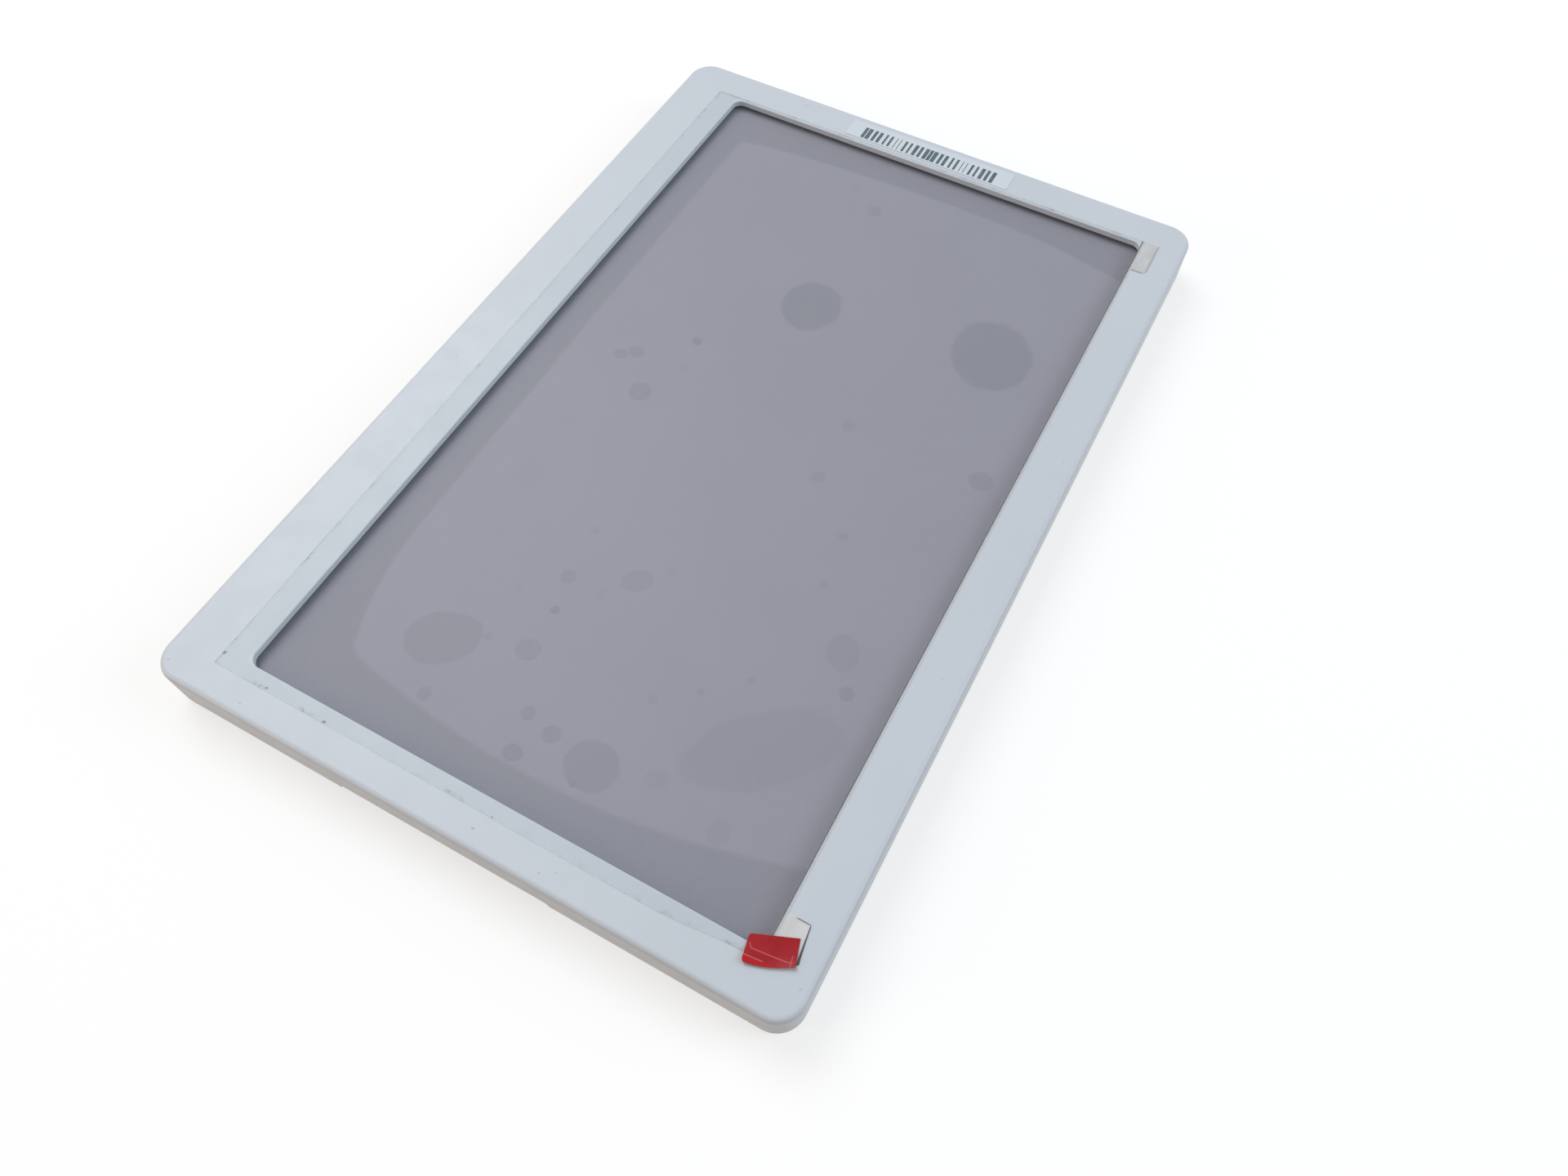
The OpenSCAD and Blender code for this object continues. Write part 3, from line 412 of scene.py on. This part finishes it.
# ---- Display
# The electronic paper is a matt grey sheet on glass. Air lies between it and
# the clear film, save where the film has settled on it in rounds and along the edges.
SCREEN_TONE = (0.282, 0.282, 0.340)
SCREEN_SETTLED = (0.236, 0.238, 0.285)
SCREEN_Z = 0.0081
FAR_BOW, NEAR_BOW, LOW_BOW = (-0.0762, 1.9, 0.006), (0.0764, 3.1, 0.002), (-0.0396, 7.6, 0.045)
BORDER_JOIN, BORDER_WAVE, BORDER_GRAIN = 0.003, 0.0016, 0.0005
BORDER_BLUR, SPOT_BLUR = (-0.0005, 0.0008), (0.90, 1.06)
SPOTS = (
    (-35.1, -2.0, 7.0, 6.2, 0, 1.0), (-40.4, 35.8, 9.1, 8.2, 20, 1.0), (63.0, -21.9, 5.2, 6.9, 35, 0.7),
    (70.4, 13.3, 4.5, 4.8, 0, 0.75), (54.8, 36.3, 6.6, 14.0, 42, 0.4), (74.3, 12.4, 0.7, 0.7, 0, 1.0),
    (-66.5, -2.9, 1.6, 1.6, 0, 0.6), (-15.6, -17.8, 1.1, 1.1, 0, 1.0), (-7.4, -27.0, 1.5, 1.7, 0, 0.8),
    (-5.5, -29.5, 1.3, 1.5, 0, 0.8), (1.0, -20.9, 2.2, 2.4, 0, 0.8), (-8.1, -16.2, 0.9, 0.9, 0, 0.4),
    (-11.0, 18.7, 1.3, 1.3, 0, 0.5), (2.5, 19.0, 1.3, 1.5, 30, 0.5), (12.1, 29.1, 1.0, 1.0, 0, 0.5),
    (22.6, 30.6, 0.9, 0.8, 0, 0.5), (32.9, 39.6, 3.7, 2.9, 30, 0.5), (39.5, 43.7, 1.4, 1.4, 0, 0.8),
    (37.5, 1.4, 2.2, 3.0, 40, 0.55), (32.9, 5.9, 1.0, 1.0, 0, 0.3), (42.6, -9.7, 1.5, 1.4, 0, 0.6),
    (49.4, -8.0, 0.9, 0.9, 0, 1.0), (48.9, -16.1, 1.1, 1.1, 0, 0.3), (57.9, -7.7, 2.1, 2.4, 20, 0.6),
    (59.1, -15.1, 0.9, 0.9, 0, 0.4), (67.6, -0.9, 1.4, 1.3, 0, 0.7), (68.9, 4.6, 1.6, 1.7, 0, 0.7),
    (74.5, 0.9, 1.6, 1.8, 0, 0.9), (73.0, -18.1, 1.4, 1.3, 0, 0.7), (67.3, 23.8, 1.8, 2.0, 0, 0.3),
    (70.0, 36.8, 2.5, 1.8, 0, 0.3), (44.9, 28.5, 0.6, 0.6, 0, 0.6), (50.8, 22.1, 0.7, 0.7, 0, 0.5),
    (55.6, 15.8, 0.9, 0.9, 0, 0.4), (27.0, -29.0, 3.6, 3.4, 0, 0.15), (-71.4, -10.0, 0.9, 0.8, 0, 0.4),
    (-11.1, 46.2, 2.2, 2.4, 0, 0.7), (42.9, -2.5, 1.7, 0.9, 0, 0.25), (32.3, -10.8, 0.9, 0.9, 0, 0.4))


def settled(place):
    """How far the sheet touches the glass: beyond three bowed borders, and on a list of ovals."""
    x, y, _ = place.parts()
    wave = place.noise(0.030, 2.0) - 0.5
    fine = place.noise(0.004, 2.0) - 0.5
    far, near = (y - FAR_BOW[2]), (y - NEAR_BOW[2])
    corner = (x - LOW_BOW[2]).most(0.0)
    beyond_far = (FAR_BOW[0] + FAR_BOW[1]*far*far) - x
    beyond_near = x - (NEAR_BOW[0] - NEAR_BOW[1]*near*near)
    beyond_low = (LOW_BOW[0] + LOW_BOW[1]*corner*corner) - y
    beyond = beyond_far.most(beyond_near)
    beyond = beyond.add("ShaderNodeMath", {"operation": "SMOOTH_MAX"},
                        {0: beyond, 1: beyond_low, 2: BORDER_JOIN})
    touch = (beyond + BORDER_WAVE*wave + BORDER_GRAIN*fine).step(*BORDER_BLUR)
    for at_x, at_y, reach_x, reach_y, turned, depth in SPOTS:
        away = away_from(place, at_x, at_y, SCREEN_Z, reach_x, reach_y, turned) + 0.25*fine
        touch = touch.most(away.step(*SPOT_BLUR, depth, 0.0))
    return touch


def screen_colour(place):
    """Clouded grey, darker where the film touches, with a faint speckle."""
    touch = settled(place)
    speck = place.noise(0.00035, 3.0).step(0.35, 0.65)
    cloud = place.noise(0.02, 3.0).step(0.3, 0.7)
    toned = touch.blend(cloud.blend(tuple(0.975*c for c in SCREEN_TONE), SCREEN_TONE), SCREEN_SETTLED)
    return (0.05*speck).blend(toned, (0.5, 0.5, 0.55))


dress("display_paper", finish(
    "screen_matt", Base_Color=screen_colour, Roughness=0.5,
    Normal=lambda p: p.noise(0.00025, 2.0).bump(0.000006, 0.4), Specular_IOR_Level=0.35))


# ---- Protective film
# A clear film less than a tenth of a millimetre thick sticks to the frame round
# the window. Two ears stand out on its plain side, and its edge has caught dust.
FILM_Z, FILM_T = 0.01002, 0.00008
FILM_FAR, FILM_NEAR, FILM_LOW, FILM_HIGH = -0.0835, 0.08545, -0.0514, 0.0524
FAR_EAR, NEAR_EAR, NEAR_EAR_SLOPE = (-0.08345, -0.07436, 0.0555), (0.0763, 0.0853, 0.0563), 0.11
FAR_ROUND, NEAR_ROUND = 0.0012, 0.0003
PULL, PULL_FROM, PULL_TO = 0.0011, 0.034, 0.050
TURN_FROM, TURN_RATE = 0.0546, 300
SAG, RIPPLE, EDGE_STEP = 0.00028, 0.00006, 2e-5


def film_edge(x):
    """The film's high edge over x: straight, with an ear at each end whose inner corner is round."""
    high = np.full_like(x, FILM_HIGH)
    for inside, round_r, top, on in (
            (FAR_EAR[1] - x, FAR_ROUND, FAR_EAR[2], (x >= FAR_EAR[0]) & (x <= FAR_EAR[1])),
            (x - NEAR_EAR[0], NEAR_ROUND, NEAR_EAR[2] + NEAR_EAR_SLOPE*(x - NEAR_EAR[0]), x >= NEAR_EAR[0])):
        short = round_r - np.sqrt(np.clip(round_r**2 - np.clip(round_r - inside, 0, None)**2, 0, None))
        high = np.where(on, top - short, high)
    return high


def film_pull(y):
    """How far the near edge is drawn back at y: a smooth step towards the tab, then a round corner."""
    share = np.clip((y - PULL_FROM)/(PULL_TO - PULL_FROM), 0, 1)
    return PULL*share*share*(3 - 2*share) + TURN_RATE*np.clip(y - TURN_FROM, 0, None)**2


def film_sag(x, y):
    """How far the film hangs into the window: a shallow dish with slow ripples, zero on the frame."""
    dish = np.clip(1 - (x/(WINDOW[0]/2))**2, 0, 1)
    dish = dish*np.clip(1 - ((y - WINDOW_Y)/(WINDOW[1]/2))**2, 0, 1)
    ripple = np.sin(x*190 + 2*np.sin(y*120))*np.sin(y*160 + 1.3)
    return dish*(SAG + RIPPLE*ripple)


ears_x = np.concatenate([FAR_EAR[1] - FAR_ROUND*np.array([1, 0.8, 0.6, 0.4, 0.2, 0.05, 0]),
                         NEAR_EAR[0] + NEAR_ROUND*np.array([0, 0.05, 0.2, 0.4, 0.6, 0.8, 1]),
                         [FAR_EAR[0], FAR_EAR[0] - EDGE_STEP,
                          FAR_EAR[1] + EDGE_STEP, NEAR_EAR[0] - EDGE_STEP]])
along = np.unique(np.concatenate([np.linspace(FILM_FAR, FILM_NEAR, 120), ears_x]))
across = np.linspace(0, 1, 70)
x, v = np.meshgrid(along, across, indexing="ij")
y = FILM_LOW + v*(film_edge(x) - FILM_LOW)
x = x - film_pull(y)*np.clip((x - NEAR_EAR[0])/(FILM_NEAR - NEAR_EAR[0]), 0, 1)
sag = film_sag(x, y)
top = np.stack([x, y, FILM_Z + FILM_T - sag], axis=-1)
under = np.stack([x, y, FILM_Z - sag], axis=-1)[:, ::-1]
loops = list(np.concatenate([top, under], axis=1))
closing = [loop.copy() for loop in (loops[0], loops[-1])]
for loop in closing:
    loop[:, 2] = FILM_Z + 0.5*FILM_T
film_points, film_faces = lofted([closing[0], *loops, closing[1]], closed=False)


EAR_FOOT, LAP_FOOT, WINDOW_SHADE_FOOT = (-0.0001, 0.0002), (0.05203, 0.05213), (0.05176, 0.05188)
WINDOW_SHADE_END, CUT_FROM, CUT_FADE = (0.05201, 0.05207), (0.0536, 0.0542), (0.0836, 0.0850)
RIM_BAND, DUST_BAND = (0.00008, 0.00022), (0.0001, 0.0010)
NEAR_CUT_BAND, FAR_CUT_BAND = (0.00005, 0.00019), (0.00010, 0.00045)
FILM_SPECKS = ((83.2, -51.2, 0.30), (85.2, -28.3, 0.26), (84.9, -40.5, 0.18), (85.3, 5.0, 0.15))


def film_marks(place):
    """Masks on the film: rim with its painted highlight, dust along it, part over the frame, ears, narrow
    lap, and cut edges joined with a painted shade line at the window's high edge.
    """
    x, y, _ = place.parts()
    turned = (y - TURN_FROM).most(0.0)
    drawn = y.step(PULL_FROM, PULL_TO, 0.0, PULL) + TURN_RATE*turned*turned
    inside = (x - FILM_FAR).least((FILM_NEAR - x) - drawn).least(y - FILM_LOW)
    rim_highlight = inside.step(*RIM_BAND, 1.0, 0.0)
    patch = place.noise(0.005, 3.0).step(0.48, 0.68)
    grit = place.noise(0.0006, 3.0).step(0.48, 0.62)
    dust = inside.step(*DUST_BAND, 1.0, 0.0)*patch*(0.3 + 0.7*grit)
    ragged = 0.9*(place.noise(0.0004, 2.0) - 0.5)
    for at_x, at_y, reach in FILM_SPECKS:
        away = away_from(place, at_x, at_y, FILM_Z, reach, 1.4*reach, 20) + ragged
        dust = dust.most(away.step(0.6, 1.1, 3.0, 0.0))
    frame_side = (abs(x) - WINDOW[0]/2).most(abs(y - WINDOW_Y) - WINDOW[1]/2).step(0.0, 0.0003)
    ear = y.step(FILM_HIGH + EAR_FOOT[0], FILM_HIGH + EAR_FOOT[1])
    lap = y.step(*LAP_FOOT)*(1 - ear)
    # Painted shade: a dark line just inside the window's high edge, where the frame's edge shades the
    # screen. It is joined to the cut edges' mask.
    window_edge_shade = y.step(*WINDOW_SHADE_FOOT)*y.step(*WINDOW_SHADE_END, 1.0, 0.0)
    near_top = NEAR_EAR[2] + NEAR_EAR_SLOPE*(x - NEAR_EAR[0]) - y
    cut_near = (x - NEAR_EAR[0]).least(near_top).step(*NEAR_CUT_BAND, 1.0, 0.0)
    cut_near = cut_near*y.step(*CUT_FROM)
    cut_near = cut_near*x.step(*CUT_FADE, 1.0, 0.2)
    cut_far = (FAR_EAR[1] - x).least(FAR_EAR[2] - y).step(*FAR_CUT_BAND, 0.40, 0.0)
    cut = cut_far + x.step(-0.001, 0.001)*(cut_near - cut_far)
    return rim_highlight, dust, frame_side, ear, lap, (cut*ear).most(window_edge_shade*0.8)


def film_tone(place):
    """Pale on the frame, milky on the ears, brown-grey in the dust and dark at the cut edges. Painted light:
    pale highlights on the rim and the lap, a shade line at the window's high edge, and a lighter near ear.
    """
    rim_highlight, dust, _, ear, lap, cut = film_marks(place)
    x = place.parts()[0]
    streak = place.noise(0.0022, 2.0, stretch=(0.25, 1, 1)).step(0.3, 0.7)
    # The near ear's tones are painted lighter and warmer than the far ear's: painted light on the near ear.
    tone = ear.blend((0.50, 0.60, 0.64), x.step(-0.001, 0.001).blend(
        streak.blend((0.74, 0.73, 0.71), (0.86, 0.85, 0.83)),
        streak.blend((0.88, 0.85, 0.83), (0.98, 0.95, 0.93))))
    # The lap is real film over the frame's eased window edge; its pale pink-white tone is a painted
    # highlight, warm light on that edge.
    tone = lap.blend(tone, (0.78, 0.73, 0.73))
    tone = dust.least(1.0).blend(tone, (0.26, 0.235, 0.18))
    # Painted highlight: a pale line along the film's cut rim, the edge catching light.
    tone = (0.5*rim_highlight).blend(tone, (0.75, 0.80, 0.82))
    return cut.blend(tone, (0.07, 0.06, 0.055))


def film_alpha(place):
    """Nearly clear, and denser by a share for each mark."""
    rim_highlight, dust, frame_side, ear, lap, cut = film_marks(place)
    dense = 0.012 + 0.045*frame_side + 0.31*ear + 0.22*lap + 0.15*rim_highlight + 0.17*dust + 0.7*cut
    return dense.least(1.0)


film = piece("film", film_points, film_faces, finish(
    "film_clear", Base_Color=film_tone, Alpha=film_alpha, Roughness=0.22,
    Normal=lambda p: p.noise(0.003, 2.0).bump(0.00002, 0.3), Specular_IOR_Level=0.4))
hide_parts("protective_film")


# ---- Pull tab
# A strip of glossy red tape, stuck over the film's near corner for peeling it
# off. It holds at its inner edge, and its outer edge curls up.
TAB_CORNERS = ((0.08166, 0.04879), (0.07880, 0.05580), (0.08299, 0.05712), (0.08582, 0.04966))
TAB_T, TAB_LIFT, TAB_ROUND = 0.00012, 0.00058, 0.00045
TAB_FOOT = 0.01012
TAB_BOW, TAB_STUCK, TAB_HOLLOW = 0.00035, 0.15, 0.45


def tab_sheet(height):
    """Four-cornered patch: u runs along the stuck edge, v to the free one. It curls up with v squared."""
    u, v = np.meshgrid(np.linspace(0, 1, 48), np.linspace(0, 1, 32), indexing="ij")
    inner, inner_end, outer_end, outer = (np.array(corner) for corner in TAB_CORNERS)
    reach = np.linalg.norm(inner_end - inner)
    depth = np.linalg.norm(outer - inner)
    chord = np.clip(TAB_ROUND**2 - np.clip(TAB_ROUND - u*reach, 0, None)**2, 0, None)
    short = TAB_ROUND - np.sqrt(chord)
    v = short/depth + v*(1 - 2*short/depth)
    flat = ((1 - u)*(1 - v))[..., None]*inner + (u*(1 - v))[..., None]*inner_end
    flat = flat + (u*v)[..., None]*outer_end + ((1 - u)*v)[..., None]*outer
    bow = TAB_BOW*np.sin(np.pi*np.clip(u*1.1, 0, 1))*v**3
    away = (outer - inner)/depth
    flat = flat + bow[..., None]*away
    curl = np.clip(v - TAB_STUCK, 0, 1)**2*(1 - TAB_HOLLOW*np.sin(np.pi*u))
    z = TAB_FOOT + height + TAB_LIFT*curl
    return np.concatenate([flat, z[..., None]], axis=-1)


tab_top, tab_under = tab_sheet(TAB_T), tab_sheet(0.0)
loops = list(np.concatenate([tab_top, tab_under[:, ::-1]], axis=1))
middle = tab_sheet(TAB_T/2)
closing = [np.concatenate([middle[end], middle[end][::-1]]) for end in (0, -1)]
tab_points, tab_faces = lofted([closing[0], *loops, closing[1]], closed=False)

TAB_LIT_EDGE_SLOPE, TAB_LIT_EDGE_X, LINE_BAND = 0.1034, 0.08980, (0.00003, 0.00011)
TAB_EDGE_HIGHLIGHTS = (((84.67, 49.55), (84.37, 52.40), 0.10), ((82.79, 49.43), (83.33, 49.93), 0.25),
             ((83.33, 49.93), (83.40, 50.18), 0.2), ((83.40, 50.18), (82.80, 55.39), 0.15),
             ((82.80, 55.39), (82.54, 56.35), 0.3), ((81.6, 56.0), (83.2, 56.34), 0.35))


def from_line(x, y, start, end):
    """Distance in metres from the stretch between two points given in millimetres."""
    ax, ay, bx, by = (value/1000 for value in (*start, *end))
    span = (bx - ax)**2 + (by - ay)**2
    px, py = x - ax, y - ay
    share = ((px*(bx - ax) + py*(by - ay))*(1/span)).most(0.0).least(1.0)
    qx, qy = px - share*(bx - ax), py - share*(by - ay)
    return (qx*qx + qy*qy).root()


def tab_colour(place):
    """Deep red, with a brighter strip along the free edge, painted light coming through where it lifts, and
    pale lines, painted highlights on the film's edges under the tape.
    """
    x, y, _ = place.parts()
    lump = place.noise(0.0025, 3.0).step(0.3, 0.7)
    red = lump.blend((0.315, 0.004, 0.010), (0.370, 0.009, 0.016))
    # Painted light: beyond a slanted line near the free edge the red is brighter, light coming through where
    # the tape lifts.
    beyond = (x + TAB_LIT_EDGE_SLOPE*y) - TAB_LIT_EDGE_X
    red = beyond.step(0.0, 0.0003).blend(red, (0.46, 0.004, 0.010))
    # Painted highlights: pale lines along the film's edges under the tape.
    for start, end, faint in TAB_EDGE_HIGHLIGHTS:
        line = from_line(x, y, start, end).step(*LINE_BAND, 0.70 - faint, 0.0)
        red = line.blend(red, (0.62, 0.22, 0.19))
    return red


tab = piece("red_tab", tab_points, tab_faces, finish(
    "tab_red", Base_Color=tab_colour, Roughness=0.32, Specular_IOR_Level=0.22,
    Normal=lambda p: p.noise(0.0012, 2.0).bump(0.00002, 0.4)))
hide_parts("pull_tab")


# ---- Sticker
# A white paper label on the far border. Its bars, in dark blue-grey, stand for
# no number: run k, a gap or a bar in turn, is 3 + (4k^2 + 5k) mod 13 wide.
BAR_RUNS = [3 + (4*k*k + 5*k) % 13 for k in range(52)]
BARS = (BAR_RUNS[:26], BAR_RUNS[26:])
BARS_FROM, BARS_LONG = 15.8, 32.4
BARS_FAR, BARS_NEAR = (-0.08825, -0.08815), (-0.08465, -0.08455)


def bars(place):
    """1 on a bar, 0 between them: the place along each half goes through its list of gaps and bars."""
    x, y, _ = place.parts()
    along = (y*1000 + BARS_FROM)/BARS_LONG
    whole = sum(map(sum, BARS))
    start, mask = 0.0, None
    for half in BARS:
        stops = [(0.0, (0.0, 0.0, 0.0))]
        for number, place_along in enumerate(np.cumsum(half)):
            shade = 1.0 - number % 2
            stops.append((place_along/sum(half), (shade, shade, shade)))
        within = (along - start)*(whole/sum(half))
        ramp = within.add("ShaderNodeValToRGB", {"interpolation": "CONSTANT", "stops": stops}, {0: within})
        part = ramp.parts()[0]
        part = part*within.step(0.0, 0.001)*within.step(0.998, 0.999, 1.0, 0.0)
        mask = part if mask is None else mask + part
        start += sum(half)/whole
    return mask*x.step(*BARS_FAR)*x.step(*BARS_NEAR, 1.0, 0.0)


def sticker_colour(place):
    """White paper with worn blue-grey ink on the bars."""
    worn = place.noise(0.0008, 3.0).step(0.3, 0.7)
    ink = worn.blend((0.075, 0.105, 0.135), (0.115, 0.150, 0.185))
    return bars(place).blend((0.615, 0.672, 0.725), ink)


dress("barcode_sticker", finish(
    "sticker_paper", Base_Color=sticker_colour, Roughness=0.55, Specular_IOR_Level=0.3,
    Normal=lambda p: p.noise(0.0006, 2.0).bump(0.00001, 0.4)))


# ---- Parts inside
# Each part has the finish of its kind: resin, glass, foam, plated strip or steel.
def plain(name, tone, rough, metal=0.0, lump=0.002, variation=0.12):
    """A moulded or drawn finish: one tone with lumps of a given size, and a fine bump."""
    darker = tuple((1 - variation)*c for c in tone)
    return finish(
        name, Base_Color=lambda p: p.noise(lump, 3.0).step(0.3, 0.7).blend(darker, tone),
        Roughness=lambda p: p.noise(lump/2, 2.0).step(0.2, 0.8, rough - 0.06, rough + 0.06),
        Metallic=metal, Normal=lambda p: p.noise(lump/8, 2.0).bump(0.00001, 0.4))


black_resin = plain("black_resin", (0.02, 0.02, 0.022), 0.45)
grey_foam = plain("grey_foam", (0.13, 0.13, 0.135), 0.9, lump=0.0006, variation=0.4)
tinned_steel = plain("tinned_steel", (0.62, 0.62, 0.63), 0.3, metal=1.0, lump=0.006)
spring_strip = plain("spring_strip", (0.72, 0.66, 0.52), 0.3, metal=1.0, lump=0.004)

dress("display_gasket", grey_foam)
dress("door_pad", grey_foam)
dress("display_glass", finish("display_glass", Base_Color=lambda p: p.noise(0.05).step(0.2, 0.8).blend(
    (0.70, 0.78, 0.80), (0.75, 0.82, 0.84)), Roughness=0.06, Alpha=0.5))
for name in ("driver_chip", "radio_chip", "memory_chip", "boost_inductor", "connector_latch",
             "switch_plunger"):
    dress(name, black_resin)
dress("display_flex", plain("amber_flex", (0.46, 0.20, 0.03), 0.35, lump=0.001))
dress("panel_carrier", plain("carrier_plastic", (0.62, 0.63, 0.64), 0.5, lump=0.02, variation=0.04))
dress("main_board", plain("solder_mask", (0.02, 0.13, 0.06), 0.3, lump=0.004))
dress("flex_connector", plain("ivory_resin", (0.70, 0.65, 0.52), 0.45))
dress("capacitors", plain("fired_ceramic", (0.34, 0.22, 0.12), 0.5, lump=0.0008))
dress("crystal", tinned_steel)
dress("switch_body", tinned_steel)
dress("case_screws", tinned_steel)
dress("antenna", spring_strip)
dress("contact_negative", spring_strip)
dress("contact_positive", spring_strip)
for number in range(1, 5):
    dress(f"coin_cell_{number}", tinned_steel)
dress("button_cap", plain("button_plastic", (0.42, 0.46, 0.50), 0.45, lump=0.01, variation=0.05))
